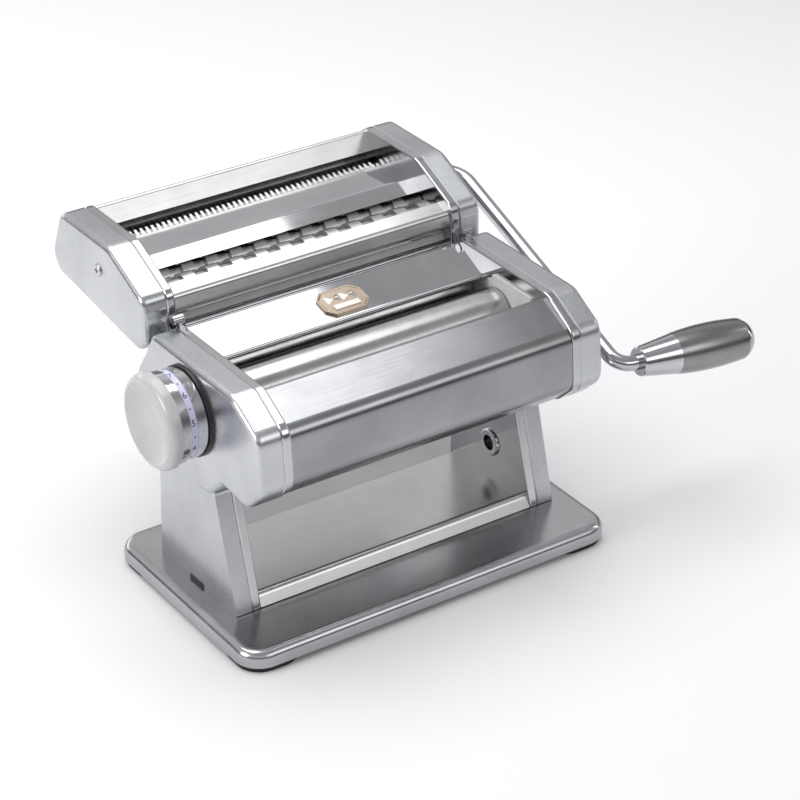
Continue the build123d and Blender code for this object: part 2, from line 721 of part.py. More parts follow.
# ---- cutter attachment: side plates and covers, made like those of the body ----
for side, sign in (("left", -1), ("right", 1)):
    with BuildPart() as cutter_side:
        with BuildSketch(side_plane(sign * inner_half)):
            add(outline_section(cutter_outline, cutter_radii))
        extrude(amount=sign * rim_width)
        with BuildSketch(side_plane(sign * (inner_half + plate_wall))):
            add(outline_section(cutter_outline, cutter_radii, -plate_wall))
        extrude(amount=sign * rim_width, mode=Mode.SUBTRACT)
        fillet(cutter_side.faces().filter_by(Axis.X).sort_by(Axis.X)[0 if sign > 0 else -1].outer_wire().edges(),
               radius=0.9)
        seam_face = cutter_side.faces().filter_by(Axis.X).sort_by(Axis.X)[-1 if sign > 0 else 0]
        chamfer(seam_face.outer_wire().edges(), length=seam_groove)
        with BuildSketch(side_plane(sign * inner_half)):
            with Locations(*[(y, cutter_z) for y in cutter_shafts.values()]):
                Circle(cutter_bush_r)
            with Locations(*cutter_ties_yz):
                Circle(cutter_tie_r)
        extrude(amount=sign * plate_wall, mode=Mode.SUBTRACT)
    cutter_side.part.label = f"cutter_{side}_side"
    save(cutter_side.part, cutter_side.part.label)

crank_hole_r = 5.6
cover_screw_y, cover_screw_z = cutter_ties_yz[1]
cutter_tie_end = inner_half + plate_wall + 1.5
for side, sign in (("left", -1), ("right", 1)):
    with BuildPart() as cutter_cover:
        with BuildSketch(side_plane(sign * seam_x)):
            add(outline_section(cutter_outline, cutter_radii))
        extrude(amount=sign * cover_depth)
        fillet(cutter_cover.faces().filter_by(Axis.X).sort_by(Axis.X)[-1 if sign > 0 else 0].edges(), radius=3.0)
        with BuildSketch(side_plane(sign * seam_x)):
            add(outline_section(cutter_outline, cutter_radii, -1.6))
        extrude(amount=sign * (cover_depth - cover_wall), mode=Mode.SUBTRACT)
        seam_face = cutter_cover.faces().filter_by(Axis.X).sort_by(Axis.X)[0 if sign > 0 else -1]
        chamfer(seam_face.outer_wire().edges(), length=seam_groove)
        with BuildSketch(side_plane(sign * face_x)):
            with Locations((cover_screw_y, cover_screw_z)):
                Circle(1.6)
            if sign > 0:
                with Locations((cutter_shafts["wide_front"], cutter_z), (cutter_shafts["narrow_front"], cutter_z)):
                    Circle(crank_hole_r)
        extrude(amount=-sign * 2 * cover_wall, mode=Mode.SUBTRACT)
    cutter_cover.part.label = f"cutter_{side}_cover"
    save(cutter_cover.part, cutter_cover.part.label)

with BuildPart() as cover_screws:
    for sign in (-1, 1):
        with BuildSketch(side_plane(sign * cutter_tie_end, cover_screw_y, cover_screw_z)):
            Circle(1.6)
        extrude(amount=sign * (face_x - cutter_tie_end))
        with BuildSketch(side_plane(sign * face_x, cover_screw_y, cover_screw_z)):
            Circle(3.1)
        extrude(amount=sign * 1.1)
        fillet(cover_screws.edges().sort_by(Axis.X)[-1 if sign > 0 else 0], radius=0.7)
        with BuildSketch(side_plane(sign * (face_x + 1.1), cover_screw_y, cover_screw_z)):
            Rectangle(3.2, 0.7)
            Rectangle(0.7, 3.2)
        extrude(amount=-sign * 0.8, mode=Mode.SUBTRACT)
cover_screws.part.label = "cover_screws"
save(cover_screws.part, "cover_screws")

# ---- cutter feed plates ----
back_path = [(107.0, 147.9), (112.2, 156.6), (113.6, 155.6), (121.8, 134.6), (118.0, 129.6)]
middle_path = [(61.5, 144.0), (72.5, 146.4), (93.0, 145.7)]
front_plate_path = [(46.5, 144.0), (40.2, 141.2), (38.9, 134.5), (43.0, 131.0)]
for name, path, radii in (
    ("cutter_back_plate", back_path, [1.0, 1.0, 3.0]),
    ("cutter_middle_plate", middle_path, [6.0]),
    ("cutter_front_plate", front_plate_path, [3.0, 2.0]),
):
    with BuildPart() as plate:
        with BuildSketch(side_plane(-inner_half)):
            add(sheet_section(path, radii, shell_wall))
        extrude(amount=2 * inner_half)
    plate.part.label = name
    save(plate.part, name)

with BuildPart() as cutter_ties:
    with BuildSketch(side_plane(-cutter_tie_end)):
        with Locations(*cutter_ties_yz):
            Circle(cutter_tie_r)
    extrude(amount=2 * cutter_tie_end)
cutter_ties.part.label = "cutter_ties"
save(cutter_ties.part, "cutter_ties")

# ---- channels that slide down over the body's rails ----
channel_gap = 0.4
channel_wall = 1.4
channel_low = 114.0
with BuildPart() as cutter_channels:
    with BuildSketch(Plane.XY.offset(channel_low)):
        with Locations((0, rail_y + rail_wall + channel_gap + channel_wall / 2)):
            Rectangle(2 * inner_half, channel_wall)
        for sign in (-1, 1):
            for edge in (-1, 1):
                wall_x = sign * rail_x + edge * (rail_half_width + channel_gap + channel_wall / 2)
                lip_x = sign * rail_x + edge * (rail_half_width + channel_gap - 0.6)
                wall_depth = rail_wall + 2 * channel_gap + channel_wall
                with Locations((wall_x, rail_y - channel_gap - channel_wall + wall_depth / 2)):
                    Rectangle(channel_wall, wall_depth)
                with Locations((lip_x, rail_y - channel_gap - channel_wall / 2)):
                    Rectangle(2.0, channel_wall)
    extrude(amount=rail_high - channel_low)
    with BuildSketch(Plane.XY.offset(rail_high + 0.3)):
        with Locations((0, rail_y + rail_wall / 2 + 0.5)):
            with GridLocations(2 * rail_x, 0, 2, 1):
                Rectangle(2 * (rail_half_width + channel_gap + channel_wall), rail_wall + 2 * channel_wall)
    extrude(amount=1.2)
    with BuildSketch(Plane.XY.offset(rail_high)):
        with Locations((0, rail_y + rail_wall + channel_gap + channel_wall / 2)):
            with GridLocations(2 * rail_x, 0, 2, 1):
                Rectangle(2 * (rail_half_width + channel_gap + channel_wall), channel_wall)
    extrude(amount=1.0)
cutter_channels.part.label = "cutter_channels"
save(cutter_channels.part, "cutter_channels")

# ---- cutter rollers: discs that interleave with the discs of the other roller of the pair ----
cutter_half = inner_half - side_gap
cutter_shaft_start = -(inner_half + plate_wall + 8.5)
socket_mouth_x = face_x - 0.4
for name, shaft_y in cutter_shafts.items():
    step, disc = (wide_step, wide_disc) if "wide" in name else (narrow_step, narrow_disc)
    shift = 0.25 if "front" in name else -0.25
    count = int(2 * cutter_half / step)
    driven_end = socket_mouth_x if "front" in name else gear_x + gear_width
    with BuildPart() as cutter_roller:
        with BuildSketch(side_plane(-cutter_half, shaft_y, cutter_z)):
            Circle(groove_r)
        extrude(amount=2 * cutter_half)
        with BuildSketch(Plane(origin=(0, shaft_y, cutter_z), x_dir=(1, 0, 0), z_dir=(0, -1, 0))):
            for index in range(count):
                middle = (index - (count - 1) / 2 + shift) * step
                with Locations((middle, (groove_r - 0.5 + cutter_r) / 2)):
                    Rectangle(disc, cutter_r - groove_r + 0.5)
        revolve(axis=Axis((0, shaft_y, cutter_z), (1, 0, 0)))
        with BuildSketch(side_plane(cutter_shaft_start, shaft_y, cutter_z)):
            Circle(cutter_shaft_r)
        extrude(amount=-cutter_half - cutter_shaft_start)
        with BuildSketch(side_plane(cutter_half, shaft_y, cutter_z)):
            Circle(cutter_bush_r - running_fit)
        extrude(amount=driven_end - cutter_half)
        if "front" in name:
            with BuildSketch(side_plane(socket_mouth_x, shaft_y, cutter_z)):
                Circle(socket_r)
            extrude(amount=-socket_depth, mode=Mode.SUBTRACT)
    cutter_roller.part.label = f"{name}_cutter"
    save(cutter_roller.part, cutter_roller.part.label)

# ---- bushes in the cutter's left side plate, where the shafts are thinner ----
with BuildPart() as cutter_bushes:
    with BuildSketch(side_plane(-inner_half)):
        with Locations(*[(y, cutter_z) for y in cutter_shafts.values()]):
            Circle(cutter_bush_r)
            Circle(cutter_shaft_r + running_fit, mode=Mode.SUBTRACT)
    extrude(amount=-plate_wall - 0.8)
cutter_bushes.part.label = "cutter_bushes"
save(cutter_bushes.part, "cutter_bushes")

# ---- cutter gears: the narrow pair's on the right, the wide pair's on the left ----
cutter_tip_r = cutter_pitch / 2 + 1.2
cutter_root_r = cutter_pitch - cutter_tip_r - 0.35
cutter_gear_width = 4.0
cutter_half_tooth = 180.0 / cutter_teeth
for name, shaft_y in cutter_shafts.items():
    narrow = "narrow" in name
    turn = 0.0 if "front" in name else 180.0 - cutter_half_tooth
    gear_near = seam_x + 0.6 if narrow else -(inner_half + plate_wall + 2.0)
    bore = cutter_bush_r - running_fit if narrow else cutter_shaft_r
    with BuildPart() as cutter_gear:
        with BuildSketch(side_plane(gear_near, shaft_y, cutter_z)):
            add(gear_section(cutter_teeth, cutter_root_r, cutter_tip_r, 2.4, 1.3, turn))
            Circle(bore, mode=Mode.SUBTRACT)
        extrude(amount=cutter_gear_width if narrow else -cutter_gear_width)
    cutter_gear.part.label = f"{name}_gear"
    save(cutter_gear.part, cutter_gear.part.label)

# ---- combs that strip the noodles off the rollers ----
comb_wall = 1.0
comb_lean = radians(40.0)
comb_reach = cutter_r + 0.5
comb_way = (1.2, -3.2)           # from a comb's edge to its root, outwards and down
for pair in ("wide", "narrow"):
    with BuildPart() as combs:
        with BuildSketch(side_plane(-inner_half)):
            for place, outward in (("front", -1), ("rear", 1)):
                edge_y = cutter_shafts[f"{pair}_{place}"] + outward * comb_reach * sin(comb_lean)
                edge_z = cutter_z - comb_reach * cos(comb_lean)
                root_y = edge_y + outward * comb_way[0]
                root_z = edge_z + comb_way[1]
                with BuildLine():
                    Polyline(
                        (edge_y, edge_z),
                        (root_y, root_z),
                        (root_y + outward * comb_wall, root_z),
                        (edge_y + outward * comb_wall, edge_z),
                        close=True,
                    )
                make_face()
        extrude(amount=2 * inner_half)
    combs.part.label = f"{pair}_combs"
    save(combs.part, combs.part.label)

# ---- crank: bent rod, turned grip with a ferrule and a polished end ----
corner = Vector(*crank_corner)
elbow = Vector(*crank_elbow)
grip_way = (Vector(*grip_tip) - elbow).normalized()
grip_length = (Vector(*grip_tip) - elbow).length
neck_at = 11.0
shoulder_at = neck_at + 19.5
belly_at = neck_at + 42.0
cap_at = grip_length - 7.0
rod_end_at = grip_length - 14.0
rod_start = Vector(socket_mouth_x - socket_depth + 0.5, corner.Y, corner.Z)
with BuildPart() as crank_arm:
    with BuildLine():
        FilletPolyline(rod_start, corner, elbow, elbow + grip_way * rod_end_at, radius=[crank_top_bend, crank_low_bend])
    with BuildSketch(Plane(origin=rod_start, z_dir=(1, 0, 0))):
        Circle(crank_r)
    sweep()
    with BuildSketch(Plane(origin=rod_start, z_dir=(1, 0, 0))):
        Circle(socket_r - running_fit)
    extrude(amount=socket_depth - 1.5)
    with BuildSketch(Plane(origin=elbow + grip_way * (rod_end_at - 1.0), z_dir=grip_way)):
        Circle(crank_r + 1.6)
    extrude(amount=2.0)
crank_arm.part.label = "crank_arm"
save(crank_arm.part, "crank_arm")

grip_plane = Plane(origin=elbow, x_dir=grip_way, z_dir=grip_way.cross(Vector(0, 0, 1)).normalized())
grip_axis = Axis(elbow, grip_way)
grip_bore = crank_r + 0.1
cap_flat_r = 2.0
washer_room = crank_r + 2.2
with BuildPart() as grip_ferrule:
    with BuildSketch(grip_plane):
        with BuildLine():
            Polyline(
                (neck_at, grip_bore),
                (neck_at, grip_neck_r - 0.5),
                (neck_at + 0.5, grip_neck_r),
                (shoulder_at, grip_shoulder_r),
                (shoulder_at, grip_bore),
                close=True,
            )
        make_face()
    revolve(axis=grip_axis)
grip_ferrule.part.label = "grip_ferrule"
save(grip_ferrule.part, "grip_ferrule")

with BuildPart() as crank_grip:
    with BuildSketch(grip_plane):
        with BuildLine():
            Line((shoulder_at, grip_bore), (shoulder_at, grip_shoulder_r))
            ThreePointArc((shoulder_at, grip_shoulder_r), (belly_at, grip_belly_r), (cap_at, grip_end_r + 0.6))
            Polyline(
                (cap_at, grip_end_r + 0.6),
                (cap_at, washer_room),
                (rod_end_at - 1.4, washer_room),
                (rod_end_at - 1.4, grip_bore),
                (shoulder_at, grip_bore),
            )
        make_face()
    revolve(axis=grip_axis)
crank_grip.part.label = "crank_grip"
save(crank_grip.part, "crank_grip")

with BuildPart() as grip_cap:
    with BuildSketch(grip_plane):
        with BuildLine():
            Polyline(
                (grip_length, cap_flat_r),
                (grip_length, 0),
                (cap_at, 0),
                (cap_at, grip_end_r + 0.4),
            )
            ThreePointArc(
                (cap_at, grip_end_r + 0.4),
                (cap_at + 4.6, grip_end_r - 2.4),
                (grip_length, cap_flat_r),
            )
        make_face()
    revolve(axis=grip_axis)
grip_cap.part.label = "grip_cap"
save(grip_cap.part, "grip_cap")
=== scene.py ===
from math import cos, radians, sin
import bmesh
import bpy
from mathutils import Matrix, Vector


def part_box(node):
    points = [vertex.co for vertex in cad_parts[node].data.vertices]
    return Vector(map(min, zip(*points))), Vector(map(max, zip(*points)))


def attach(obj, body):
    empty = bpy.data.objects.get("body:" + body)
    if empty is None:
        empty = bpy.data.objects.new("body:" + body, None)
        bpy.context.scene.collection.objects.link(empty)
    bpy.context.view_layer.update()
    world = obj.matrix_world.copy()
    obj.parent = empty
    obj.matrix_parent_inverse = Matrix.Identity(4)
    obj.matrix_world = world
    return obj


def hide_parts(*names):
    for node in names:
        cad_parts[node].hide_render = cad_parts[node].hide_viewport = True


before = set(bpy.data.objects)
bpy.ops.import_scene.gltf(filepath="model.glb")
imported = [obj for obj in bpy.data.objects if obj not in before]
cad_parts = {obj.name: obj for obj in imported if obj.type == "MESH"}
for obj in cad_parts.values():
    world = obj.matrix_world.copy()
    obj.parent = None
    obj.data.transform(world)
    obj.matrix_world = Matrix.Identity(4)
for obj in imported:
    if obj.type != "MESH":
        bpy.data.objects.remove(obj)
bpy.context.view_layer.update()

scene = bpy.context.scene
print("frame loaded", len(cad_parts), "nodes")

# camera
cameraStyle = {
    "place": (-0.6195, -0.9381, 0.7308),
    "turn": (60.0, 0.0, -34.3),
    "lens": 126.0,
    "sensor": 36.0,
    "nearest": 0.01,
}
cameraData = bpy.data.cameras.new("camera")
cameraData.lens = cameraStyle["lens"]
cameraData.sensor_width = cameraStyle["sensor"]
cameraData.clip_start = cameraStyle["nearest"]
camera = bpy.data.objects.new("camera", cameraData)
camera.location = cameraStyle["place"]
camera.rotation_euler = [radians(v) for v in cameraStyle["turn"]]
scene.collection.objects.link(camera)
scene.camera = camera
scene.view_settings.view_transform = "Standard"

# studio lamps
lampStyle = {
    "topSoftbox": {"place": (-0.02, 0.27, 0.95), "aim": (-0.02, 0.2, 0.08), "size": (1.05, 0.80), "power": 7},
    "frontSoftbox": {"place": (0.35, -1.15, 0.75), "aim": (0, 0, 0.1), "size": (0.9, 0.45), "power": 1.7},
    "leftSoftbox": {"place": (-1.15, 0.05, 0.55), "aim": (0, 0, 0.1), "size": (0.5, 0.5), "power": 6.2},
    "rightStrip": {"place": (1.1, -0.25, 0.45), "aim": (0.1, 0, 0.1), "size": (0.15, 0.8), "power": 0.9},
    "backStrip": {"place": (-0.2, 1.1, 0.3), "aim": (0, 0, 0.1), "size": (0.9, 0.2), "power": 1.4},
}
for lampName, style in lampStyle.items():
    lamp = bpy.data.lights.new(lampName, "AREA")
    lamp.shape = "RECTANGLE"
    lamp.size, lamp.size_y = style["size"]
    lamp.energy = style["power"]
    lampObject = bpy.data.objects.new(lampName, lamp)
    lampObject.location = style["place"]
    way = Vector(style["aim"]) - Vector(style["place"])
    lampObject.rotation_euler = way.to_track_quat("-Z", "Y").to_euler()
    scene.collection.objects.link(lampObject)

# air round the studio: a ramp from straight down to straight up, with a dark band at the horizon
airStyle = {
    "strength": 0.88,
    "bottom": (0.5, 0.5, 0.51, 1),
    "top": (0.62, 0.63, 0.66, 1),
    "levels": ((0.46, 0.5), (0.53, 0.12), (0.62, 0.22), (0.70, 0.75), (0.78, 0.85), (0.88, 0.42)),
    "blueness": 1.01,
}
world = bpy.data.worlds.new("studioAir")
scene.world = world
world.use_nodes = True
worldTree = world.node_tree
worldTree.nodes.clear()
airOut = worldTree.nodes.new("ShaderNodeOutputWorld")
air = worldTree.nodes.new("ShaderNodeBackground")
airCoords = worldTree.nodes.new("ShaderNodeTexCoord")
airSplit = worldTree.nodes.new("ShaderNodeSeparateXYZ")
airRamp = worldTree.nodes.new("ShaderNodeValToRGB")
airShift = worldTree.nodes.new("ShaderNodeMath")
airShift.operation = "MULTIPLY_ADD"
airShift.inputs[1].default_value = 0.5
airShift.inputs[2].default_value = 0.5
ramp = airRamp.color_ramp
ramp.elements[0].position, ramp.elements[1].position = 0.0, 1.0
ramp.elements[0].color, ramp.elements[1].color = airStyle["bottom"], airStyle["top"]
for spot, level in airStyle["levels"]:
    stop = ramp.elements.new(spot)
    stop.color = (level, level, level * airStyle["blueness"], 1)
worldTree.links.new(airCoords.outputs["Generated"], airSplit.inputs[0])
worldTree.links.new(airSplit.outputs["Z"], airShift.inputs[0])
worldTree.links.new(airShift.outputs[0], airRamp.inputs[0])
worldTree.links.new(airRamp.outputs[0], air.inputs[0])
air.inputs[1].default_value = airStyle["strength"]
worldTree.links.new(air.outputs[0], airOut.inputs[0])

# floor
floorStyle = {"halfSize": 6.0, "colour": (0.84, 0.84, 0.85, 1), "roughness": 0.9}
floorMesh = bpy.data.meshes.new("floor")
floorShape = bmesh.new()
bmesh.ops.create_grid(floorShape, x_segments=1, y_segments=1, size=floorStyle["halfSize"])
floorShape.to_mesh(floorMesh)
floorShape.free()
floor = bpy.data.objects.new("floor", floorMesh)
scene.collection.objects.link(floor)
floorPaint = bpy.data.materials.new("floorPaint")
floorPaint.use_nodes = True
floorShader = floorPaint.node_tree.nodes["Principled BSDF"]
floorShader.inputs["Base Color"].default_value = floorStyle["colour"]
floorShader.inputs["Roughness"].default_value = floorStyle["roughness"]
floorMesh.materials.append(floorPaint)
print("studio ready")


# materials: a colour that drifts a little, roughness in patches and streaks, and a fine bump
# how often each pattern repeats in a metre
patternStyle = {
    "metalDrift": (22, 22, 22),
    "smears": (45, 38, 52),
    "fineTimes": 3.1,
    "fineShare": 0.5,
    "plasticDrift": (60, 60, 60),
    "plasticGrain": (2600, 2600, 2600),
    "plasticBump": 0.6,
    "coatRoughness": 0.12,
}


def startMaterial(name):
    material = bpy.data.materials.new(name)
    material.use_nodes = True
    tree = material.node_tree
    shader = tree.nodes["Principled BSDF"]
    coords = tree.nodes.new("ShaderNodeTexCoord")
    return material, tree, shader, coords


def stretchedNoise(tree, coords, scale, detail=4.0, rough=0.6):
    mapping = tree.nodes.new("ShaderNodeMapping")
    mapping.inputs["Scale"].default_value = scale
    noise = tree.nodes.new("ShaderNodeTexNoise")
    noise.inputs["Scale"].default_value = 1.0
    noise.inputs["Detail"].default_value = detail
    noise.inputs["Roughness"].default_value = rough
    tree.links.new(coords.outputs["Object"], mapping.inputs["Vector"])
    tree.links.new(mapping.outputs["Vector"], noise.inputs["Vector"])
    return noise.outputs["Fac"]


def spread(tree, value, low, high, fromLow=0.35, fromHigh=0.65):
    mapper = tree.nodes.new("ShaderNodeMapRange")
    mapper.inputs["From Min"].default_value = fromLow
    mapper.inputs["From Max"].default_value = fromHigh
    mapper.inputs["To Min"].default_value = low
    mapper.inputs["To Max"].default_value = high
    tree.links.new(value, mapper.inputs["Value"])
    return mapper.outputs["Result"]


def blendColour(tree, value, dark, light):
    mixer = tree.nodes.new("ShaderNodeMix")
    mixer.data_type = "RGBA"
    mixer.inputs["A"].default_value = (*dark, 1)
    mixer.inputs["B"].default_value = (*light, 1)
    tree.links.new(value, mixer.inputs["Factor"])
    return mixer.outputs["Result"]


def addBump(tree, shader, value, strength, depth):
    bump = tree.nodes.new("ShaderNodeBump")
    bump.inputs["Strength"].default_value = strength
    bump.inputs["Distance"].default_value = depth
    tree.links.new(value, bump.inputs["Height"])
    tree.links.new(bump.outputs["Normal"], shader.inputs["Normal"])


def joinMath(tree, operation, first, second):
    maths = tree.nodes.new("ShaderNodeMath")
    maths.operation = operation
    for place, value in enumerate((first, second)):
        if isinstance(value, (int, float)):
            maths.inputs[place].default_value = value
        else:
            tree.links.new(value, maths.inputs[place])
    return maths.outputs[0]


def makeMetal(name, dark, light, roughLow, roughHigh, grain, grainDepth):
    material, tree, shader, coords = startMaterial(name)
    shader.inputs["Metallic"].default_value = 1.0
    drift = stretchedNoise(tree, coords, patternStyle["metalDrift"], 3.0)
    streaks = stretchedNoise(tree, coords, grain, 2.0, 0.5)
    fine = stretchedNoise(tree, coords, tuple(v * patternStyle["fineTimes"] for v in grain), 2.0, 0.5)
    smears = stretchedNoise(tree, coords, patternStyle["smears"], 3.0, 0.6)
    colour = blendColour(tree, spread(tree, drift, 0, 1), dark, light)
    tree.links.new(colour, shader.inputs["Base Color"])
    level = joinMath(tree, "ADD", spread(tree, streaks, 0, 0.45), spread(tree, smears, 0, 0.55, 0.3, 0.75))
    tree.links.new(spread(tree, level, roughLow, roughHigh, 0.0, 1.0), shader.inputs["Roughness"])
    height = joinMath(tree, "ADD", streaks, joinMath(tree, "MULTIPLY", fine, patternStyle["fineShare"]))
    addBump(tree, shader, height, 1.0, grainDepth)
    return material


def makePlastic(name, dark, light, roughLow, roughHigh, grainDepth, coat=0.0, specular=0.5):
    material, tree, shader, coords = startMaterial(name)
    shader.inputs["Specular IOR Level"].default_value = specular
    shader.inputs["Coat Weight"].default_value = coat
    shader.inputs["Coat Roughness"].default_value = patternStyle["coatRoughness"]
    drift = stretchedNoise(tree, coords, patternStyle["plasticDrift"], 3.0)
    grain = stretchedNoise(tree, coords, patternStyle["plasticGrain"], 2.0, 0.5)
    colour = blendColour(tree, spread(tree, drift, 0, 1), dark, light)
    tree.links.new(colour, shader.inputs["Base Color"])
    tree.links.new(spread(tree, grain, roughLow, roughHigh), shader.inputs["Roughness"])
    addBump(tree, shader, grain, patternStyle["plasticBump"], grainDepth)
    return material


# how often the brushed grain repeats in a metre, along X, Y and Z
alongX = (35.0, 1500.0, 1500.0)
aroundX = (1500.0, 160.0, 160.0)
allOver = (2600.0, 2600.0, 2600.0)

# dark and light colour, lowest and highest roughness, grain, depth of the bump
metalStyle = {
    "satinCover": ((0.490, 0.500, 0.516), (0.570, 0.580, 0.598), 0.24, 0.32, allOver, 0.0000006),
    "satinShell": ((0.285, 0.290, 0.297), (0.350, 0.355, 0.363), 0.17, 0.26, alongX, 0.0000004),
    "pressedRim": ((0.460, 0.465, 0.475), (0.560, 0.565, 0.575), 0.10, 0.18, allOver, 0.0000006),
    "mirrorPlate": ((0.520, 0.525, 0.540), (0.600, 0.605, 0.620), 0.05, 0.11, alongX, 0.0000004),
    "trayPlate": ((0.58, 0.575, 0.57), (0.66, 0.655, 0.65), 0.20, 0.27, alongX, 0.0000002),
    "basePlate": ((0.420, 0.425, 0.435), (0.500, 0.505, 0.515), 0.17, 0.27, alongX, 0.0000004),
    "rollerMetal": ((0.420, 0.420, 0.425), (0.520, 0.520, 0.525), 0.16, 0.28, aroundX, 0.000005),
    "gearSteel": ((0.34, 0.34, 0.35), (0.44, 0.44, 0.45), 0.3, 0.45, allOver, 0.000008),
    "bushBronze": ((0.50, 0.34, 0.16), (0.62, 0.44, 0.22), 0.35, 0.5, allOver, 0.000008),
    "dialChrome": ((0.580, 0.580, 0.600), (0.660, 0.660, 0.680), 0.03, 0.07, aroundX, 0.000001),
    "rodSteel": ((0.480, 0.485, 0.500), (0.580, 0.585, 0.600), 0.08, 0.16, allOver, 0.0000006),
    "gripSatin": ((0.230, 0.230, 0.235), (0.300, 0.300, 0.305), 0.20, 0.30, allOver, 0.0000006),
    "gripFerrule": ((0.500, 0.505, 0.520), (0.600, 0.605, 0.620), 0.08, 0.14, allOver, 0.0000006),
    "gripEnd": ((0.40, 0.40, 0.41), (0.48, 0.48, 0.49), 0.06, 0.12, allOver, 0.0000006),
    "badgeWarm": ((0.34, 0.28, 0.22), (0.44, 0.37, 0.30), 0.18, 0.28, allOver, 0.000001),
    "badgeBright": ((0.66, 0.62, 0.58), (0.74, 0.70, 0.66), 0.18, 0.28, allOver, 0.000001),
}
# dark and light colour, lowest and highest roughness, depth of the bump, coat, specular level
plasticStyle = {
    "guardPlastic": ((0.55, 0.55, 0.53), (0.62, 0.62, 0.60), 0.35, 0.5, 0.000006),
    # near-black for the dial seat and the leg slot: painted shade standing for the dark gap round the dial
    # and the inside of the slot
    "paintedGapShade": ((0.010, 0.010, 0.011), (0.022, 0.022, 0.024), 0.35, 0.5, 0.000006),
    "footRubber": ((0.014, 0.014, 0.015), (0.03, 0.03, 0.032), 0.6, 0.8, 0.00001, 0.0, 0.3),
    "bandPlastic": ((0.58, 0.57, 0.76), (0.64, 0.63, 0.82), 0.3, 0.42, 0.000003, 0.2),
    "capPlastic": ((0.42, 0.42, 0.43), (0.47, 0.47, 0.48), 0.20, 0.30, 0.000003, 0.3),
    "inkBlue": ((0.015, 0.018, 0.075), (0.025, 0.028, 0.10), 0.35, 0.5, 0.000002),
}
finishes = {name: makeMetal(name, *style) for name, style in metalStyle.items()}
for name, style in plasticStyle.items():
    finishes[name] = makePlastic(name, *style)

finishOf = {
    "satinCover": ["left_end_cover", "right_end_cover", "cutter_left_cover", "cutter_right_cover"],
    "satinShell": ["front_shell", "rear_shell"],
    "pressedRim": ["left_side_plate", "right_side_plate", "cutter_left_side", "cutter_right_side"],
    "trayPlate": ["cross_tray", "cutter_front_plate", "cutter_back_plate"],
    "mirrorPlate": ["hopper_plate", "cutter_middle_plate"],
    "basePlate": ["base_plate"],
    "rollerMetal": ["front_roller", "rear_roller", "wide_front_cutter", "wide_rear_cutter",
                    "narrow_front_cutter", "narrow_rear_cutter"],
    "gearSteel": ["front_roller_gear", "rear_roller_gear", "drive_pinion", "wide_front_gear",
                  "wide_rear_gear", "narrow_front_gear", "narrow_rear_gear", "dial_shaft", "adjust_blocks"],
    "bushBronze": ["roller_bushes", "cutter_bushes"],
    "rodSteel": ["crank_arm", "hook_studs", "cover_screws", "clamp_socket", "rod_nuts", "tie_rods",
                 "cutter_ties", "cutter_rails", "cutter_channels", "dial_spring"],
    "guardPlastic": ["left_roller_guard", "right_roller_guard", "wide_combs", "narrow_combs",
                     "front_scraper", "rear_scraper"],
    "footRubber": ["rubber_feet"],
    "badgeWarm": ["hopper_badge"],
    "dialChrome": ["dial_barrel"],
    # the dial seat is near-black: painted shade of the gap between the dial and the cover
    "paintedGapShade": ["dial_seat"],
    "bandPlastic": ["number_band"],
    "capPlastic": ["dial_cap"],
    "gripSatin": ["crank_grip"],
    "gripFerrule": ["grip_ferrule"],
    "gripEnd": ["grip_cap"],
}
for finish, nodeNames in finishOf.items():
    for nodeName in nodeNames:
        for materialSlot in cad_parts[nodeName].material_slots:
            materialSlot.material = finishes[finish]
print("finishes assigned")


# a new piece from a bmesh, riding a body, with a slot and a material
def keepPiece(name, shape, body, material):
    mesh = bpy.data.meshes.new(name)
    shape.to_mesh(mesh)
    shape.free()
    mesh.materials.append(material)
    for face in mesh.polygons:
        face.use_smooth = False
    piece = bpy.data.objects.new(name, mesh)
    scene.collection.objects.link(piece)
    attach(piece, body)
    return piece


# badge with cut corners and a sunk middle
badgeStyle = {
    "slope": 12.6,
    "sink": 0.0008,
    "width": 0.0240,
    "height": 0.0170,
    "cornerWidth": 2 / 3,
    "cornerHeight": 1 / 2,
    "thickness": 0.0013,
    "rim": 0.0010,
    "wallWidth": 0.0003,
    "wallDepth": 0.0005,
    "softEdge": 0.00018,
}
badgeLow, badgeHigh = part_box("hopper_badge")
badgeMiddle = (Vector(badgeLow) + Vector(badgeHigh)) / 2
badgeTurn = Matrix.Rotation(radians(badgeStyle["slope"]), 4, "X")
badgeUp = badgeTurn @ Vector((0, 0, 1))
badgePlace = Matrix.Translation(badgeMiddle - badgeUp * badgeStyle["sink"]) @ badgeTurn

badgeShape = bmesh.new()
halfWide, halfHigh = badgeStyle["width"] / 2, badgeStyle["height"] / 2
cutX, cutY = halfWide * badgeStyle["cornerWidth"], halfHigh * badgeStyle["cornerHeight"]
corners = [(-halfWide, -cutY), (-cutX, -halfHigh), (cutX, -halfHigh), (halfWide, -cutY),
           (halfWide, cutY), (cutX, halfHigh), (-cutX, halfHigh), (-halfWide, cutY)]
badgeBack = badgeShape.faces.new([badgeShape.verts.new((x, y, 0)) for x, y in corners])
grown = bmesh.ops.extrude_face_region(badgeShape, geom=[badgeBack])
topVerts = [part for part in grown["geom"] if isinstance(part, bmesh.types.BMVert)]
bmesh.ops.translate(badgeShape, verts=topVerts, vec=(0, 0, badgeStyle["thickness"]))
bmesh.ops.recalc_face_normals(badgeShape, faces=badgeShape.faces)
badgeTop = [face for face in badgeShape.faces if face.normal.z > 0.9]
bmesh.ops.inset_region(badgeShape, faces=badgeTop, thickness=badgeStyle["rim"], depth=0.0)
badgeTop = [face for face in badgeShape.faces if face.normal.z > 0.9 and len(face.verts) == len(corners)]
bmesh.ops.inset_region(badgeShape, faces=badgeTop, thickness=badgeStyle["wallWidth"],
                       depth=-badgeStyle["wallDepth"])
sharpEdges = [edge for edge in badgeShape.edges if edge.calc_face_angle(0) > 0.4]
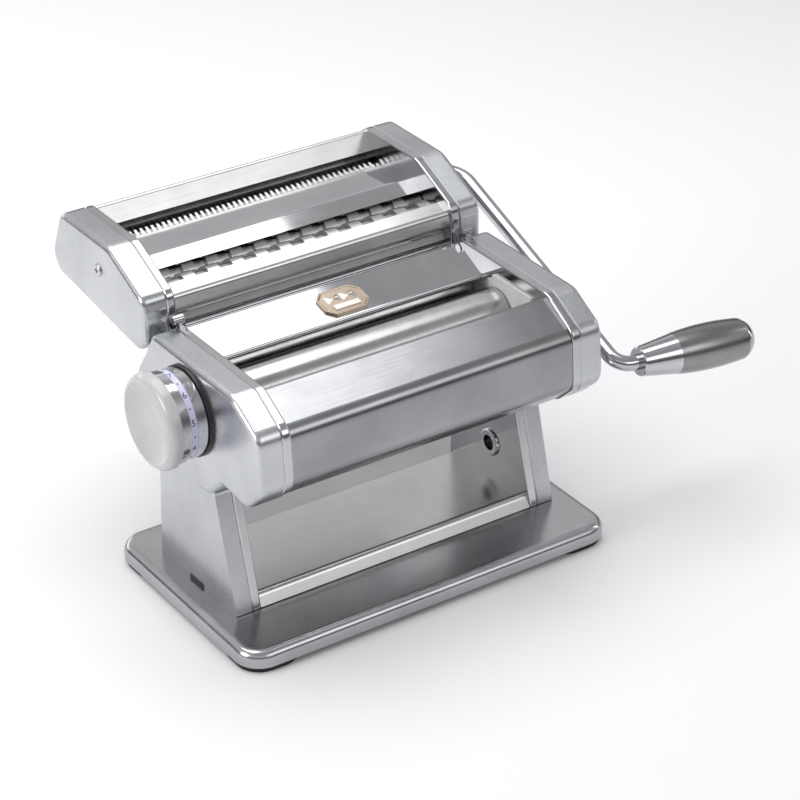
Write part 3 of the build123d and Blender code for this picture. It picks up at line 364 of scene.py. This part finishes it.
bmesh.ops.bevel(badgeShape, geom=sharpEdges, offset=badgeStyle["softEdge"], offset_type="OFFSET",
                segments=2, profile=0.5, affect="EDGES", material=-1)
bmesh.ops.transform(badgeShape, matrix=badgePlace, verts=badgeShape.verts)
badgePiece = keepPiece("badge_plate", badgeShape, "frame", finishes["badgeWarm"])
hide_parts("hopper_badge")

# three-sided facets in a row, and a bar below them
facetStyle = {
    "count": 4,
    "rowWidth": 0.68,
    "rowHeight": 0.30,
    "radius": 0.0032,
    "tipRadius": 0.0006,
    "depth": 0.0009,
    "facetSink": 0.0001,
    "barDrop": 0.45,
    "barSize": (0.0138, 0.0030, 0.0008),
    "barSink": 0.0002,
    "softEdge": 0.0001,
}
facets = bmesh.new()
facetStep = badgeStyle["width"] * facetStyle["rowWidth"] / facetStyle["count"]
facetLift = badgeStyle["thickness"] - facetStyle["facetSink"]
for index in range(facetStyle["count"]):
    across = (index - (facetStyle["count"] - 1) / 2) * facetStep
    turned = Matrix.Rotation(radians(90 if index % 2 else -90), 4, "Z")
    spot = Matrix.Translation((across, halfHigh * facetStyle["rowHeight"], facetLift)) @ turned
    bmesh.ops.create_cone(facets, cap_ends=True, segments=3, radius1=facetStyle["radius"],
                          radius2=facetStyle["tipRadius"], depth=facetStyle["depth"], matrix=spot)
barPlace = (0, -halfHigh * facetStyle["barDrop"], badgeStyle["thickness"] - facetStyle["barSink"])
bar = Matrix.Translation(barPlace) @ Matrix.Diagonal((*facetStyle["barSize"], 1))
bmesh.ops.create_cube(facets, size=1.0, matrix=bar)
bmesh.ops.bevel(facets, geom=list(facets.edges), offset=facetStyle["softEdge"], offset_type="OFFSET",
                segments=1, profile=0.5, affect="EDGES", material=-1)
bmesh.ops.transform(facets, matrix=badgePlace, verts=facets.verts)
keepPiece("badge_facets", facets, "frame", finishes["badgeBright"])
print("badge made")

# slot at the foot of the left leg, where the leg is folded into the base; the thin near-black box is painted
# shade for the inside of the slot
slotStyle = {
    "place": (-0.08935, 0.0054, 0.0120),
    "depth": 0.0004,
    "length": 0.0122,
    "height": 0.0020,
    "roundEnd": 0.0008,
}
slotShape = bmesh.new()
slotSize = Matrix.Diagonal((slotStyle["depth"], slotStyle["length"], slotStyle["height"], 1))
bmesh.ops.create_cube(slotShape, size=1.0, matrix=Matrix.Translation(slotStyle["place"]) @ slotSize)
endEdges = [edge for edge in slotShape.edges if abs(edge.verts[0].co.x - edge.verts[1].co.x) > 0]
bmesh.ops.bevel(slotShape, geom=endEdges, offset=slotStyle["roundEnd"], offset_type="OFFSET",
                segments=3, profile=0.5, affect="EDGES", material=-1)
keepPiece("leg_slot", slotShape, "frame", finishes["paintedGapShade"])

# numbers printed round the dial's band
numberStyle = {
    "count": 10,
    "height": 0.0042,
    "thickness": 0.00003,
    "step": 36.0,
    "firstAngle": -16.0,
    "lift": 0.00004,
    "dotRadius": 0.00042,
    "dotSides": 12,
    "dotDepth": 0.00006,
}
bandLow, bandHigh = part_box("number_band")
bandY = (bandLow[1] + bandHigh[1]) / 2
bandZ = (bandLow[2] + bandHigh[2]) / 2
bandR = (bandHigh[2] - bandLow[2]) / 2
bandX = (bandLow[0] + bandHigh[0]) / 2


def wrapOnBand(shape, angle):
    # x of the flat drawing stays along the rollers, its y goes up round the band
    for vert in shape.verts:
        turned = angle - vert.co.y / bandR
        radius = bandR + numberStyle["lift"] + vert.co.z
        across = vert.co.x
        vert.co = Vector((bandX + across, bandY + radius * cos(turned), bandZ + radius * sin(turned)))


printing = bmesh.new()
for number in range(numberStyle["count"]):
    words = bpy.data.curves.new("number", "FONT")
    words.body = str(number)
    words.size = numberStyle["height"]
    words.align_x = "CENTER"
    words.align_y = "CENTER"
    words.extrude = numberStyle["thickness"]
    holder = bpy.data.objects.new("number", words)
    scene.collection.objects.link(holder)
    bpy.context.view_layer.update()
    flat = bpy.data.meshes.new_from_object(holder.evaluated_get(bpy.context.evaluated_depsgraph_get()))
    one = bmesh.new()
    one.from_mesh(flat)
    bmesh.ops.remove_doubles(one, verts=one.verts, dist=0.000001)
    wrapOnBand(one, radians(numberStyle["firstAngle"] - number * numberStyle["step"]))
    bmesh.ops.recalc_face_normals(one, faces=one.faces)
    wrapped = bpy.data.meshes.new("wrapped")
    one.to_mesh(wrapped)
    one.free()
    printing.from_mesh(wrapped)
    bpy.data.objects.remove(holder)
    bpy.data.curves.remove(words)
    dot = bmesh.new()
    bmesh.ops.create_cone(dot, cap_ends=True, segments=numberStyle["dotSides"],
                          radius1=numberStyle["dotRadius"], radius2=numberStyle["dotRadius"],
                          depth=numberStyle["dotDepth"])
    wrapOnBand(dot, radians(numberStyle["firstAngle"] - (number + 0.5) * numberStyle["step"]))
    bmesh.ops.recalc_face_normals(dot, faces=dot.faces)
    dot.to_mesh(wrapped)
    dot.free()
    printing.from_mesh(wrapped)
keepPiece("band_numbers", printing, "dial_knob", finishes["inkBlue"])
print("numbers printed")
